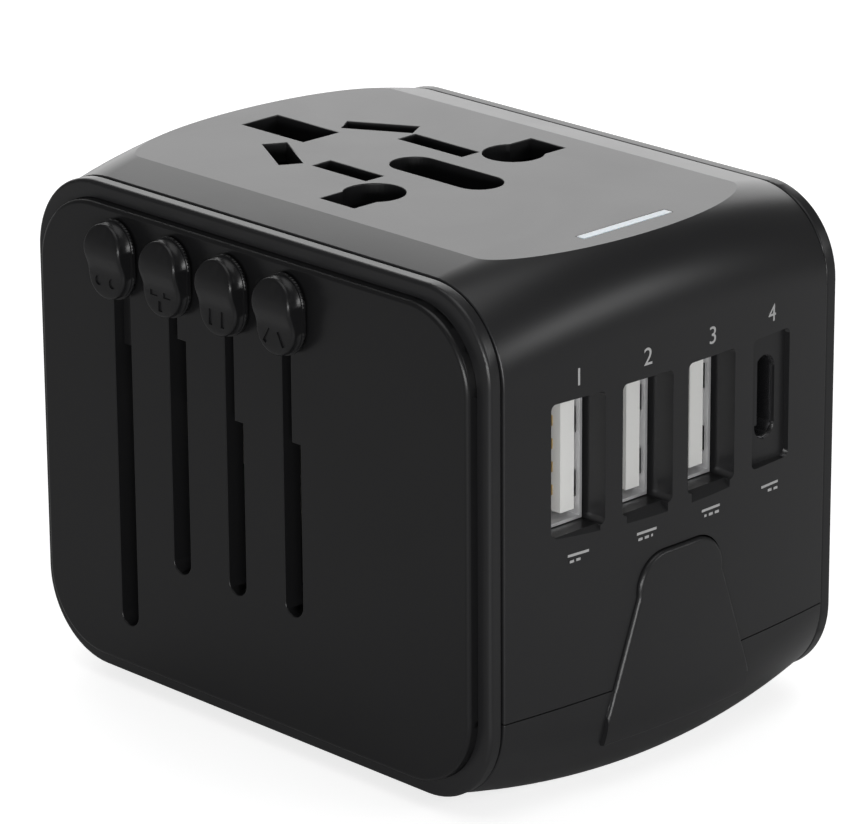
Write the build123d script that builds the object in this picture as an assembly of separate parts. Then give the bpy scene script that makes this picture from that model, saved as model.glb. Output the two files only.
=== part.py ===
"""Universal travel adapter: a barrel-shaped housing with a universal socket on top, four plugs that slide out
of its underside, three USB-A ports and one USB-C port. X runs across the slider panel towards the USB side,
Y from the slider panel to the plain panel, Z up. The origin is the middle of the bottom plug face. Millimetres."""

from build123d import *
import math
import os

os.makedirs("parts", exist_ok=True)

# Outer body
body_width = 67.2
body_depth = 50.2
body_height = 53.0
side_bulge = 1.5
crown = 2.3
crown_drop = 0.9
edge_radius = 9.2
wall = 2.0
seam_gap = 0.12
seam_round = 0.25
mouth_round = 0.12

# End frames and panels


def in_slots(point):
    """True inside the part of the front panel that the slots take up."""
    across = slot_x["eu"] - slot_width < point.X < slot_x["au"] + slot_width
    return across and slot_low["eu"] - 1 < point.Z < slot_top + 0.1


panel_proud = 1.2
frame_depth = 1.64
frame_step = 0.5
panel_inset = 1.7
panel_radius = 7.8
panel_fit = 0.05
panel_edge = 0.45

# Lower cover and its grip tab
parting_height = 10.2
tab_top = 22.8
tab_half_top = 5.8
tab_half_base = 9.8
tab_base_height = 7.6
tab_shoulder = 18.8
tab_corner = 3.6
tab_proud = 0.45
tab_round = 0.4
tab_foot = 4.5

# Slider slots and knobs
slot_width = 2.45
slot_narrow = 1.25
slot_pitch = 8.09
slot_first = -17.93
slot_top = 48.7
slot_low = {"eu": 7.0, "uk": 14.7, "us": 14.7, "au": 14.7}
slot_step = {"uk": 39.1, "us": 32.7, "au": 32.5}
slider_travel = 28.4
slide_gap = 0.3
knob_width = 5.3
knob_height = 7.7
knob_centre = 45.55
knob_proud = 2.55
knob_ridge = 0.7
knob_scoop = 0.5
knob_lip = 0.4
knob_flange = 0.18
knob_flange_depth = 0.4
press_travel = 0.45
press_gap = 0.1
blade_thickness = 0.9
blade_inset = 0.2
blade_tall = 4.0

# Plug carriages and pins
carriage_base = 31.4
carriage_thickness = 2.4
stowed_clearance = 3.0
plate_width = 6.4
plate_depth = 2.5
plate_front = -21.0
plate_top = 49.5
bar_x = {"eu": (-15.8, -11.0), "uk": (-10.7, -5.9), "us": (-5.6, 1.2), "au": (1.6, 8.6)}
bar_half_y = {"eu": 12.5, "uk": 15.0, "us": 8.0, "au": 10.0}
leg_x = {"eu": (-19.0, -13.6), "uk": (-12.6, -7.0), "us": (-4.9, 1.2), "au": (3.2, 8.6)}
link_depth = 3.5
earth_leg_x = (9.7, 18.1)
earth_leg_front = -2.3
pin_floor_gap = 0.3
eu_pin_radius = 2.0
eu_pin_spread = 9.5
eu_pin_out = 19.0
uk_pin = (4.0, 6.35)
uk_pin_spread = 11.1
uk_pin_out = 17.7
uk_earth_pin = (8.0, 4.0)
uk_earth_spacing = 22.2
uk_earth_out = 22.7
us_blade = (6.35, 1.5)
us_blade_spread = 6.35
us_blade_out = 16.0
au_blade = (6.35, 1.6)
au_blade_spread = 6.85
au_blade_out = 17.0
au_angle = 30.0
rod_radius = 1.0
rod_fit = 0.06

# Universal socket face
line_x = 1.7
keyhole_half = 2.39
keyhole_reach = 14.43
round_radius = 3.1
round_spread = 9.5
earth_x = -20.5
earth_hole = (9.03, 4.85)
us_hole_x = -5.5
us_hole_spread = 6.19
us_hole_width = 2.4
us_hole_length = {1: 9.05, -1: 7.6}
au_hole_x = -14.4
au_hole_spread = 6.65
au_hole = (7.5, 2.45)
obround_x = 1.95
obround = (13.9, 4.9)
led_x = 26.0
led_bar = (1.0, 12.0)
led_fit = 0.05

# Safety shutter
shutter_travel = 6.8
shutter_thickness = 0.9
shutter_cover = 0.5
shutter_under = 3.2
bridge_x = (9.8, 13.0)
shutter_tab = (11.0, 12.2)
spring_seat = 23.0
spring_radius = 1.3
spring_wire = 0.15
spring_turns = 8

# Contact block
block_x = (-26.0, 9.0)
block_half_y = 16.5
block_base = 34.3
block_top_gap = 0.3
block_roof = 1.5
block_wall = 1.0
earth_box_base = 29.4
contact_sheet = 0.5

# USB side
port_low = 27.4
port_high = 40.6
port_radius = 0.6
usb_a_y = (-13.4, -4.5, 4.3)
usb_a_width = 6.7
usb_a_shell = (5.7, 13.0)
usb_a_sheet = 0.3
usb_a_recess = 2.6
usb_a_tongue = (1.84, 11.1)
usb_a_tongue_gap = 0.45
usb_a_ledge = 0.9
usb_a_window = (0.5, 2.6)
usb_c_y = 13.2
usb_c_width = 5.7
usb_c_recess = 1.1
usb_c_shell = (3.16, 8.94)
usb_c_sheet = 0.3
usb_c_lip = 0.45
usb_c_lip_gap = 0.12
usb_c_tongue = (0.7, 6.7)
collar_wall = 1.2
collar_depth = 1.8
port_fit = 0.1
board_x = (18.9, 20.1)
board_half_y = 17.3
board_z = (24.5, 46.6)
board_fit = 0.08

# Power electronics, fuse and screws
power_board_z = (4.2, 5.4)
power_board_x = (20.2, 28.6)
power_board_half_y = 15.4
fuse_radius = 3.15
fuse_length = 25.4
fuse_x = -25.2
fuse_z = 20.0
fuse_board_x = (-30.2, -29.2)
screw_x = 24.8
screw_y = 19.2
screw_radius = 1.25
screw_head_radius = 2.2
screw_head_height = 1.7
screw_length = 16.0
post_radius = 2.2
boss_radius = 3.1

# Sizes that follow from the ones above
half_width = body_width / 2
seam_half = half_width - side_bulge
panel_front = body_depth / 2
frame_front = panel_front - panel_proud
seam_y = frame_front - frame_depth
seam_top = body_height - crown_drop
seam_low = crown_drop
body_middle = body_height / 2
frame_width = 2 * seam_half - 0.4
frame_height = seam_top - seam_low - 0.1
panel_width = frame_width - 2 * panel_inset
panel_height = frame_height - 2 * panel_inset
panel_back = frame_front - frame_depth + seam_gap + frame_step
roof_under = body_height - wall
block_top = roof_under - block_top_gap - shutter_thickness - shutter_under - 0.2
shutter_top = roof_under - shutter_under
shutter_low = shutter_top - shutter_thickness
keys = ("eu", "uk", "us", "au")
slot_x = {key: slot_first + index * slot_pitch for index, key in enumerate(keys)}
blade_x = {key: slot_x[key] - slot_width / 2 + blade_inset + blade_thickness / 2 for key in keys}
bar_mid = {key: sum(bar_x[key]) / 2 for key in keys}
earth_pin_x = bar_mid["uk"] + uk_earth_spacing
extended_base = carriage_base - slider_travel
port_middle = (port_low + port_high) / 2
port_tall = port_high - port_low


def block(x, y, z):
    """Box between two limits on each axis."""
    size = [high - low for low, high in (x, y, z)]
    middle = [(high + low) / 2 for low, high in (x, y, z)]
    return Pos(*middle) * Box(*size)


def upright(sketch, z):
    """Flat sketch on the XY plane, extruded between two heights."""
    return Pos(0, 0, z[0]) * extrude(sketch, z[1] - z[0])


def facing_y(sketch, y):
    """Sketch drawn as X across and Z up, extruded between two places on Y."""
    return Pos(0, y[0], 0) * extrude(Rot(90, 0, 0) * sketch, y[1] - y[0], dir=(0, 1, 0))


def facing_x(sketch, x):
    """Sketch drawn as Y across and Z up, extruded between two places on X."""
    return Pos(x[0], 0, 0) * extrude(Rot(0, 0, 90) * Rot(90, 0, 0) * sketch, x[1] - x[0], dir=(1, 0, 0))


def obround_sketch(length, width):
    return SlotOverall(length, width)


def barrel(inset):
    """Body between the two seams, bowed out at its sides, top and bottom, set in by a distance."""
    side = ThreePointArc((seam_half - inset, -seam_y), (half_width - inset, 0), (seam_half - inset, seam_y))
    other = mirror(side, about=Plane.YZ)
    plan = make_face([side, other, Line(side @ 0, other @ 0), Line(side @ 1, other @ 1)])
    top = seam_top - inset
    low = seam_low + inset
    roof = ThreePointArc((-seam_y, top), (0, top + crown), (seam_y, top))
    floor = ThreePointArc((-seam_y, low), (0, low - crown), (seam_y, low))
    profile = make_face([roof, floor, Line(roof @ 0, floor @ 0), Line(roof @ 1, floor @ 1)])
    full = upright(plan, (-body_height, 2 * body_height)) & facing_x(profile, (-body_width, body_width))
    long_edges = [e for e in full.edges() if abs(e.position_at(0).Y - e.position_at(1).Y) > seam_y]
    full = fillet(long_edges, edge_radius - inset)
    across = (-body_width, body_width)
    return full & block(across, (-body_depth, body_depth), (inset, body_height - inset))


def keyhole(side, grow=0.0):
    """Line or neutral aperture: a straight slot run into a round hole."""
    reach = keyhole_reach + grow
    straight = Pos(line_x, side * (round_spread + reach) / 2)
    straight = straight * Rectangle(2 * (keyhole_half + grow), reach - round_spread)
    return straight + Pos(line_x, side * round_spread) * Circle(round_radius + grow)


def socket_sketch(grow=0.0):
    """All the apertures of the universal socket except the LED slit."""
    shape = Pos(earth_x, 0) * Rectangle(earth_hole[0] + 2 * grow, earth_hole[1] + 2 * grow)
    shape += Pos(obround_x, 0) * obround_sketch(obround[0] + 2 * grow, obround[1] + 2 * grow)
    for side in (1, -1):
        shape += keyhole(side, grow)
        us = Rectangle(us_hole_length[side] + 2 * grow, us_hole_width + 2 * grow)
        shape += Pos(us_hole_x, side * us_hole_spread) * us
        au = Rot(0, 0, side * au_angle) * Rectangle(au_hole[0] + 2 * grow, au_hole[1] + 2 * grow)
        shape += Pos(au_hole_x, side * au_hole_spread) * au
    return shape


def pin_sketches(key, grow=0.0):
    """Cross-sections of one plug's pins, in plan."""
    middle = bar_mid[key]
    shapes = []
    for side in (1, -1):
        if key == "eu":
            shapes.append(Pos(middle, side * eu_pin_spread) * Circle(eu_pin_radius + grow))
        if key == "uk":
            size = Rectangle(uk_pin[0] + 2 * grow, uk_pin[1] + 2 * grow)
            shapes.append(Pos(middle, side * uk_pin_spread) * size)
        if key == "us":
            size = Rectangle(us_blade[0] + 2 * grow, us_blade[1] + 2 * grow)
            shapes.append(Pos(middle, side * us_blade_spread) * size)
        if key == "au":
            size = Rectangle(au_blade[0] + 2 * grow, au_blade[1] + 2 * grow)
            shapes.append(Pos(middle, side * au_blade_spread) * Rot(0, 0, side * au_angle) * size)
    if key == "uk":
        size = Rectangle(uk_earth_pin[0] + 2 * grow, uk_earth_pin[1] + 2 * grow)
        shapes.append(Pos(earth_pin_x, 0) * size)
    return shapes


def tab_sketch(grow=0.0):
    """Outline of the grip tab, Y across and Z up."""
    top = tab_top + grow
    half = tab_half_top + grow
    base = tab_half_base + grow
    low = tab_foot
    points = [(-base, low), (-base, tab_base_height), (-half, tab_shoulder), (-half, top)]
    points += [(half, top), (half, tab_shoulder), (base, tab_base_height), (base, low)]
    face = make_face(Polyline(*points, close=True))
    corners = face.vertices().sort_by(Axis.Y)[-2:]
    return fillet(corners, tab_corner)


def rod_places():
    places = [(bar_mid[key], 0.0) for key in keys]
    places.append((earth_pin_x, bar_half_y["uk"] - link_depth))
    return places


def on_tab_outline(edge):
    """True for an edge round the proud face of the grip tab."""
    points = [edge.position_at(t) for t in (0, 0.5, 1)]
    return all(p.X > half_width - side_bulge and p.Z > tab_foot for p in points)


outer = barrel(0)
end_edges = [e for e in outer.edges() if abs(abs(e.center().Y) - seam_y) < 0.01]
outer = fillet(end_edges, seam_round)
inner = barrel(wall)
shell = outer - inner
skin = barrel(-tab_proud)
screw_places = [(sx * screw_x, sy * screw_y) for sx in (1, -1) for sy in (1, -1)]
everywhere = (-body_width, body_width)

# Main housing
upper_zone = block(everywhere, everywhere, (parting_height, 2 * body_height))
main_housing = shell & upper_zone
tab_notch = facing_x(tab_sketch(seam_gap), (half_width - 3 * wall, body_width))
main_housing -= tab_notch
collar_y = (usb_a_y[0] - usb_a_width / 2 - collar_wall, usb_c_y + usb_c_width / 2 + collar_wall)
collar_z = (port_low - collar_wall, port_high + collar_wall)
collar_back = half_width - wall - collar_depth
collar = block((collar_back, half_width), collar_y, collar_z) & outer
main_housing += collar
for y in usb_a_y:
    opening = Pos(y, port_middle) * RectangleRounded(usb_a_width, port_tall, port_radius)
    main_housing -= facing_x(opening, (0, body_width))
    ledge_in = half_width - usb_a_ledge
    ledge = make_face(
        Polyline((ledge_in, port_low), (body_width, port_low), (body_width, port_low - body_width + ledge_in), close=True)
    )
    main_housing -= facing_y(ledge, (y - usb_a_width / 2 + port_radius, y + usb_a_width / 2 - port_radius))
usb_c_web = half_width - usb_c_recess - 0.3
pocket = Pos(usb_c_y, port_middle) * RectangleRounded(usb_c_width, port_tall, port_radius)
main_housing -= facing_x(pocket, (usb_c_web, body_width))
usb_c_front = usb_c_web - usb_c_lip - 0.03
usb_c_bed = Rot(0, 0, 90) * obround_sketch(usb_c_shell[1] + 2 * port_fit, usb_c_shell[0] + 2 * port_fit)
main_housing -= facing_x(Pos(usb_c_y, port_middle) * usb_c_bed, (0, usb_c_web - usb_c_lip))
lip_shrink = 2 * (usb_c_sheet - usb_c_lip_gap)
usb_c_hole = Rot(0, 0, 90) * obround_sketch(usb_c_shell[1] - lip_shrink, usb_c_shell[0] - lip_shrink)
main_housing -= facing_x(Pos(usb_c_y, port_middle) * usb_c_hole, (0, body_width))
for x, y in screw_places:
    post = upright(Pos(x, y) * Circle(post_radius), (parting_height, body_height)) & outer
    main_housing += post
main_housing -= upright(socket_sketch(), (roof_under - wall, body_height + wall))
led_slot = Rectangle(led_bar[0] + 2 * led_fit, led_bar[1] + 2 * led_fit)
main_housing -= upright(Pos(led_x, 0) * led_slot, (roof_under - wall, body_height + wall))
def in_mouth(edge):
    """True for an edge where an aperture opens through the flat socket face."""
    middle = edge.center()
    flat = abs(middle.Z - body_height) < 0.001 and abs(edge.position_at(0).Z - body_height) < 0.001
    return flat and abs(middle.X) < led_x + led_bar[0] and abs(middle.Y) < keyhole_reach + 0.5


main_housing = fillet([e for e in main_housing.edges() if in_mouth(e)], mouth_round)
rail_low = block_top + 0.15
rail_y = (keyhole_reach + shutter_cover + slide_gap, keyhole_reach + shutter_cover + slide_gap + 1.0)
for side in (1, -1):
    rail = (min(side * rail_y[0], side * rail_y[1]), max(side * rail_y[0], side * rail_y[1]))
    main_housing += block((line_x - round_radius, bridge_x[1] + shutter_travel), rail, (rail_low, roof_under + 0.5))
seat_z = (board_z[1] + 0.4, roof_under + 0.5)
main_housing += block((spring_seat, spring_seat + 1.0), (-3, 3), seat_z)
guide_x = (board_x[0] - 0.6, board_x[1] + 0.6)
board_slot_y = board_half_y + board_fit
board_slot_x = (board_x[0] - board_fit, board_x[1] + board_fit)
board_slot = block(board_slot_x, (-board_slot_y, board_slot_y), (0, board_z[1] + board_fit))
for side in (1, -1):
    ends = (side * (board_half_y - 0.8), side * (board_half_y + 1.4))
    guide = block(guide_x, (min(ends), max(ends)), (board_z[0], roof_under + 0.5))
    main_housing += guide - board_slot
pilot = screw_radius + 0.05
screw_head_top = wall + screw_head_height
for x, y in screw_places:
    main_housing -= upright(Pos(x, y) * Circle(pilot), (0, screw_head_top + screw_length + 0.5))

# Lower cover
lower_zone = block(everywhere, everywhere, (-body_height, parting_height - seam_gap))
lower_cover = shell & lower_zone
for x, y in screw_places:
    boss = upright(Pos(x, y) * Circle(boss_radius), (0, parting_height - seam_gap)) & outer
    lower_cover += boss
tab = facing_x(tab_sketch(), (half_width - 2 * wall, body_width)) & (skin - inner)
tab_edges = [e for e in tab.edges() if on_tab_outline(e)]
tab = fillet(tab_edges, tab_round)
lower_cover += tab
for key in keys:
    for shape in pin_sketches(key, pin_floor_gap):
        lower_cover -= upright(shape, (-wall, 2 * wall))
for x, y in screw_places:
    lower_cover -= upright(Pos(x, y) * Circle(screw_head_radius + 0.2), (-wall, screw_head_top))
    lower_cover -= upright(Pos(x, y) * Circle(screw_radius + 0.25), (-wall, body_height))
for x, y in rod_places():
    lower_cover -= upright(Pos(x, y) * Circle(rod_radius + rod_fit), (wall / 2, 2 * wall))
for x in power_board_x:
    inward = -1.2 if x > sum(power_board_x) / 2 else 1.2
    ledge = (min(x, x + inward), max(x, x + inward))
    for y in (-9.0, 9.0):
        lower_cover += block(ledge, (y - 1, y + 1), (wall - 0.2, power_board_z[0] - 0.02))

# End frames and panels


def in_slots(point):
    """True inside the part of the front panel that the slots take up."""
    across = slot_x["eu"] - slot_width < point.X < slot_x["au"] + slot_width
    return across and slot_low["eu"] - 1 < point.Z < slot_top + 0.1


frame_outline = RectangleRounded(frame_width, frame_height, edge_radius - 0.6)
panel_outline = RectangleRounded(panel_width, panel_height, panel_radius)
panel_seat = RectangleRounded(panel_width + 2 * panel_fit, panel_height + 2 * panel_fit, panel_radius + panel_fit)
step_outline = RectangleRounded(panel_width - 2, panel_height - 2, panel_radius - 1)
ring = facing_y(Pos(0, body_middle) * frame_outline, (seam_y + seam_gap, frame_front))
ring = fillet(ring.faces().sort_by(Axis.Y)[-1].edges(), panel_edge)
ring = fillet(ring.faces().sort_by(Axis.Y)[0].edges(), seam_round)
ring -= facing_y(Pos(0, body_middle) * panel_seat, (panel_back, panel_front))
ring -= facing_y(Pos(0, body_middle) * step_outline, (0, panel_front))
tongue_x = seam_half - wall - 0.2
for z in (body_middle - 9, body_middle + 9):
    for side in (1, -1):
        tongue = (min(side * tongue_x, side * (tongue_x - 1)), max(side * tongue_x, side * (tongue_x - 1)))
        ring += block(tongue, (seam_y - 2.2, seam_y + seam_gap + frame_step), (z - 3, z + 3))
rear_frame = ring
front_frame = mirror(ring, about=Plane.XZ)
plain = facing_y(Pos(0, body_middle) * panel_outline, (panel_back + 0.02, panel_front))
plain = fillet(plain.faces().sort_by(Axis.Y)[-1].edges(), panel_edge)
rear_panel = plain
front_panel = mirror(plain, about=Plane.XZ)
for key in keys:
    low = slot_low[key]
    wide_top = slot_step.get(key, slot_top)
    run = slot_width / 2
    shape = Pos(slot_x[key], (low + run + wide_top) / 2) * Rectangle(slot_width, wide_top - low - run)
    shape += Pos(slot_x[key], low + run) * Circle(run)
    if key in slot_step:
        narrow_x = slot_x[key] - (slot_width - slot_narrow) / 2
        shape += Pos(narrow_x, (slot_top + wide_top) / 2) * Rectangle(slot_narrow, slot_top - wide_top)
    front_panel -= facing_y(shape, (-body_depth, 0))
slot_rims = [e for e in front_panel.edges() if abs(e.center().Y + panel_front) < 0.001 and in_slots(e.center())]
front_panel = fillet(slot_rims, mouth_round)

# Carriages, pins, knobs and knob springs
nodes = {}
plate_back = plate_front + plate_depth
panel_inside = -panel_back - 0.02
bar_top = carriage_base + carriage_thickness
bar_z = (carriage_base, bar_top)
blade_z = (slot_top - 0.6 - blade_tall, slot_top - 0.6)
knob_front = -panel_front - knob_proud
flange_back = -panel_front - press_travel - press_gap
flange_front = flange_back - knob_flange_depth
collar_front = panel_inside + 0.3
collar_rear = collar_front + 0.4
pins_out = {"eu": eu_pin_out, "uk": uk_pin_out, "us": us_blade_out, "au": au_blade_out}
for key in keys:
    carriage = block(bar_x[key], (-bar_half_y[key], bar_half_y[key]), bar_z)
    carriage += block(leg_x[key], (plate_front, -bar_half_y[key] + 0.5), bar_z)
    plate_x = (slot_x[key] - plate_width / 2, slot_x[key] + plate_width / 2)
    carriage += block(plate_x, (plate_front, plate_back), (carriage_base, plate_top))
    if key == "uk":
        link_y = (bar_half_y[key], bar_half_y[key] + link_depth)
        carriage += block((bar_x[key][0], earth_leg_x[1]), link_y, bar_z)
        carriage += block(earth_leg_x, (earth_leg_front, link_y[1]), bar_z)
    for x, y in rod_places():
        carriage -= upright(Pos(x, y) * Circle(rod_radius + rod_fit), (0, body_height))
    slit = block(
        (blade_x[key] - blade_thickness / 2 - 0.05, blade_x[key] + blade_thickness / 2 + 0.05),
        (plate_front - 1, plate_back + 1),
        (blade_z[0] - 0.05, blade_z[1] + 0.05),
    )
    carriage -= slit
    shank_top = bar_top - 0.8
    pins = None
    for index, shape in enumerate(pin_sketches(key)):
        out = uk_earth_out if index == 2 else pins_out[key]
        tip = slider_travel - out
        pin = upright(shape, (tip, shank_top))
        ends = pin.faces().sort_by(Axis.Z)[0].edges()
        pin = fillet(ends, 1.2) if key == "eu" else chamfer(ends, 0.55)
        pins = pin if pins is None else pins + pin
        carriage -= upright(shape, (carriage_base - 1, shank_top))
    low_end = knob_centre - knob_height / 2
    high_end = knob_centre + knob_height / 2
    ridge = knob_centre + knob_ridge
    crest_points = [
        (knob_front + knob_scoop + 0.05, low_end),
        (knob_front + knob_scoop, low_end + 1.2),
        (knob_front + knob_scoop, knob_centre - 0.9),
        (knob_front, ridge),
        (knob_front + knob_lip / 3, (ridge + high_end) / 2 + 0.2),
        (knob_front + knob_lip, high_end),
    ]
    dome = Spline(*crest_points)
    far = -panel_front
    face = [dome, Line(dome @ 0, (far, low_end)), Line(dome @ 1, (far, high_end))]
    profile = make_face(face + [Line((far, low_end), (far, high_end))])
    lens = facing_x(profile, (slot_x[key] - knob_width, slot_x[key] + knob_width))
    cap = Rot(0, 0, 90) * obround_sketch(knob_height, knob_width)
    cap = facing_y(Pos(slot_x[key], knob_centre) * cap, (knob_front - 1, flange_front)) & lens
    top_edges = [e for e in cap.edges() if e.center().Y < flange_front - 0.05 and e.length > 1]
    cap = fillet([e for e in top_edges if e.bounding_box().max.Y < flange_front - 0.1], 0.35)
    skirt = Rot(0, 0, 90) * obround_sketch(knob_height + 2 * knob_flange, knob_width + 2 * knob_flange)
    knob = cap + facing_y(Pos(slot_x[key], knob_centre) * skirt, (flange_front, flange_back))
    blade = (blade_x[key] - blade_thickness / 2, blade_x[key] + blade_thickness / 2)
    knob += block(blade, (flange_front, plate_back + 0.5), blade_z)
    knob += block((blade[0] - 0.8, blade[1] + 0.8), (collar_front, collar_rear), blade_z)
    knob += block((blade[0] - 0.5, blade[1] + 0.5), (plate_back + 0.05, plate_back + 0.55), blade_z)
    end_step = slot_width / 2 - math.sqrt((slot_width / 2) ** 2 - (slot_width / 2 - blade_inset) ** 2)
    stop = slot_low[key] + end_step + slide_gap + slider_travel
    if stop < blade_z[0] - 0.5:
        filler = (slot_x[key] - slot_width / 2 + blade_inset, slot_x[key] + slot_width / 2 - blade_inset)
        knob += block(filler, (-panel_front + 1.1, panel_inside - 0.05), (stop, slot_top - 0.2))
    leaf_z = (sum(blade_z) / 2 - 3.1, sum(blade_z) / 2 + 3.1)
    crest = ThreePointArc(
        (plate_front - 0.05, leaf_z[0]),
        (collar_rear + 0.05, sum(leaf_z) / 2),
        (plate_front - 0.05, leaf_z[1]),
    )
    trough = ThreePointArc(
        (plate_front - 0.05, leaf_z[0] + 0.5),
        (collar_rear + 0.2, sum(leaf_z) / 2),
        (plate_front - 0.05, leaf_z[1] - 0.5),
    )
    strip = make_face([crest, trough, Line(crest @ 0, trough @ 0), Line(crest @ 1, trough @ 1)])
    spring = facing_x(strip, (blade[0] - 0.7, blade[1] + 0.7))
    window_z = (blade_z[0] - 0.1, blade_z[1] + 0.1)
    spring -= block((blade[0] - 0.1, blade[1] + 0.1), (plate_front - 3, plate_front + 1), window_z)
    nodes[f"{key}_carriage"] = carriage
    nodes[f"{key}_pins"] = pins
    nodes[f"{key}_knob"] = knob
    nodes[f"{key}_knob_spring"] = spring

# Carriage guide rods
rods = None
for x, y in rod_places():
    top = block_base + 1.0 if abs(y) < block_half_y and x < block_x[1] else bar_top + 3
    rod = upright(Pos(x, y) * Circle(rod_radius), (wall / 2 + 0.02, top))
    rods = rod if rods is None else rods + rod

# Safety shutter and its return spring
pad_x = (line_x - round_radius - shutter_cover, line_x + round_radius + shutter_cover)
pad_y = (round_spread - round_radius - shutter_cover, keyhole_reach + shutter_cover)
shutter_z = (shutter_low, shutter_top)
shutter = block(bridge_x, (-pad_y[1], pad_y[1]), shutter_z)
for side in (1, -1):
    pad = (min(side * pad_y[0], side * pad_y[1]), max(side * pad_y[0], side * pad_y[1]))
    shutter += block((pad_x[0], bridge_x[0] + 0.5), pad, shutter_z)
spring_z = shutter_top + spring_radius + spring_wire + 0.1
lug_top = spring_z + spring_radius
shutter += block(shutter_tab, (-2, 2), (shutter_top - 0.1, lug_top))
coil_ends = (shutter_tab[1] + 0.02 + spring_wire, spring_seat - 0.02 - spring_wire)
coil_length = coil_ends[1] - coil_ends[0]
coil_path = Helix(coil_length / spring_turns, coil_length, spring_radius)
coil_start = Plane(origin=coil_path @ 0, z_dir=coil_path % 0)
coil = sweep(coil_start * Circle(spring_wire), path=coil_path, is_frenet=True)
shutter_spring = Pos(coil_ends[0], 0, spring_z) * Rot(0, 90, 0) * coil

# Contact block: a roof with the socket's apertures over two pockets, with a deeper box for the earth contact
block_y = (-block_half_y, block_half_y)
contact_block = block(block_x, block_y, (block_base, block_top))
earth_wall = earth_hole[1] / 2 + contact_sheet + 0.5 + block_wall
earth_span = (block_x[0], bar_x["eu"][0] - 0.5)
contact_block += block(earth_span, (-earth_wall, earth_wall), (earth_box_base, block_base))
pocket_x = (au_hole_x - au_hole[0] / 2 - block_wall, line_x + round_radius + contact_sheet + 0.7)
rib = obround[1] / 2 + block_wall
for side in (1, -1):
    pocket_y = (side * rib, side * (block_half_y - block_wall))
    contact_block -= block(pocket_x, (min(pocket_y), max(pocket_y)), (block_base - 1, block_top - block_roof))
cavity = Pos(earth_x, 0) * Rectangle(earth_hole[0] + 0.4, earth_hole[1] + 2 * contact_sheet + 1.0)
contact_block -= upright(cavity, (earth_box_base + 1, block_top - block_roof))
contact_block -= upright(socket_sketch() & Rectangle(body_width, 4 * rib), (block_top - block_roof - 1, body_height))
contact_block -= upright(socket_sketch(), (block_top - block_roof - 0.5, body_height))
contact_block -= upright(Pos(obround_x, 0) * obround_sketch(*obround), (block_base + 2.2, body_height))
for x, y in rod_places():
    contact_block -= upright(Pos(x, y) * Circle(rod_radius + rod_fit), (block_base - 1, block_base + 1.1))
for side in (1, -1):
    hanger = block((block_x[0] + 3, block_x[0] + 5), (side * 11 - 1, side * 11 + 1), (block_top, roof_under - 0.02))
    contact_block += hanger

# Line, neutral and earth contacts
contacts = {}
strap_z = (block_base + 0.9, block_base + 1.5)
leaf_span = (strap_z[0], block_top - block_roof - 1.0)
for side, name in ((-1, "line_contact"), (1, "neutral_contact")):
    strap_y = (side * (rib + 0.4), side * (block_half_y - block_wall - 0.4))
    strap_x = (pocket_x[0] + 0.4, pocket_x[1] - 0.2)
    contact = block(strap_x, (min(strap_y), max(strap_y)), strap_z)
    contact -= upright(socket_sketch(0.1), (strap_z[0] - 1, strap_z[1] + 1))
    for offset in (-1, 1):
        at = line_x + offset * (round_radius + contact_sheet / 2 + 0.1)
        leaf_x = (at - contact_sheet / 2, at + contact_sheet / 2)
        contact += block(leaf_x, (side * 10.6 - 2.2, side * 10.6 + 2.2), leaf_span)
        at = us_hole_spread + offset * (us_hole_width / 2 + contact_sheet / 2 + 0.12)
        leaf_y = (side * at - contact_sheet / 2, side * at + contact_sheet / 2)
        contact += block((us_hole_x - 3.2, us_hole_x + 2.4), leaf_y, leaf_span)
        shift = offset * (au_hole[1] / 2 + contact_sheet / 2 + 0.12)
        leaf = Rot(0, 0, side * au_angle) * Pos(0, shift) * Rectangle(4.4, contact_sheet)
        contact += upright(Pos(au_hole_x, side * au_hole_spread) * leaf, leaf_span)
    contacts[name] = contact
earth_half = earth_hole[1] / 2
earth_strap_z = (earth_box_base + 1.1, earth_box_base + 1.7)
earth_contact = block((earth_x - 3.6, earth_x + 3.6), (-earth_half - 0.8, earth_half + 0.8), earth_strap_z)
for side in (1, -1):
    at = side * (earth_half + contact_sheet / 2 + 0.15)
    leaf_y = (at - contact_sheet / 2, at + contact_sheet / 2)
    earth_contact += block((earth_x - 3.6, earth_x + 3.6), leaf_y, (earth_strap_z[0], block_top - block_roof - 1))

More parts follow.
